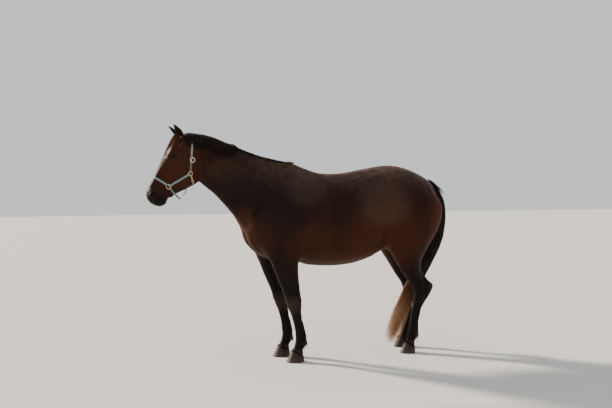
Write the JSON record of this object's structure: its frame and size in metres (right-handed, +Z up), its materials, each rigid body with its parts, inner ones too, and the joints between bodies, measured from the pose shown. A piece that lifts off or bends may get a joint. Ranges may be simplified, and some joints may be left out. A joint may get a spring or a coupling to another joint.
{
  "type": "standing horse",
  "caption": "Life-size dark bay riding horse standing quietly, head up and ears forward, wearing a plain webbing headcollar.",
  "frame": {"origin": "on the floor, under the middle of the whole horse", "axes": "the horse faces -X, its left side is towards -Y, +Z is up"},
  "size_m": [2.5494, 0.6104, 1.8487],
  "materials": {
    "bay_coat": "short glossy dark bay coat, black points",
    "eyeball": "wet, very dark brown",
    "hoof_horn": "grey-brown horn with faint growth rings",
    "black_hair": "coarse long hair, black, sun-bleached at the tail end",
    "webbing": "woven pale blue-grey strap",
    "halter_metal": "dull pale brass"
  },
  "bodies": {
    "root": {"head": "bay_coat", "neck": "bay_coat", "trunk": "bay_coat", "foreleg_left": "bay_coat", "foreleg_right": "bay_coat", "hindleg_left": "bay_coat", "hindleg_right": "bay_coat", "ear_left": "bay_coat", "ear_right": "bay_coat", "eye_left": "eyeball", "eye_right": "eyeball", "forehoof_left": "hoof_horn", "forehoof_right": "hoof_horn", "hindhoof_left": "hoof_horn", "hindhoof_right": "hoof_horn", "mane": "black_hair", "forelock": "black_hair", "tail": "black_hair", "halter_noseband": "webbing", "halter_chin_strap": "webbing", "halter_crown": "webbing", "halter_throat_strap": "webbing", "halter_cheek_strap_left": "webbing", "halter_cheek_strap_right": "webbing", "halter_side_ring_left": "halter_metal", "halter_side_ring_right": "halter_metal", "halter_cheek_ring_left": "halter_metal", "halter_cheek_ring_right": "halter_metal", "halter_buckle_ring_left": "halter_metal"}
  },
  "joints": []
}
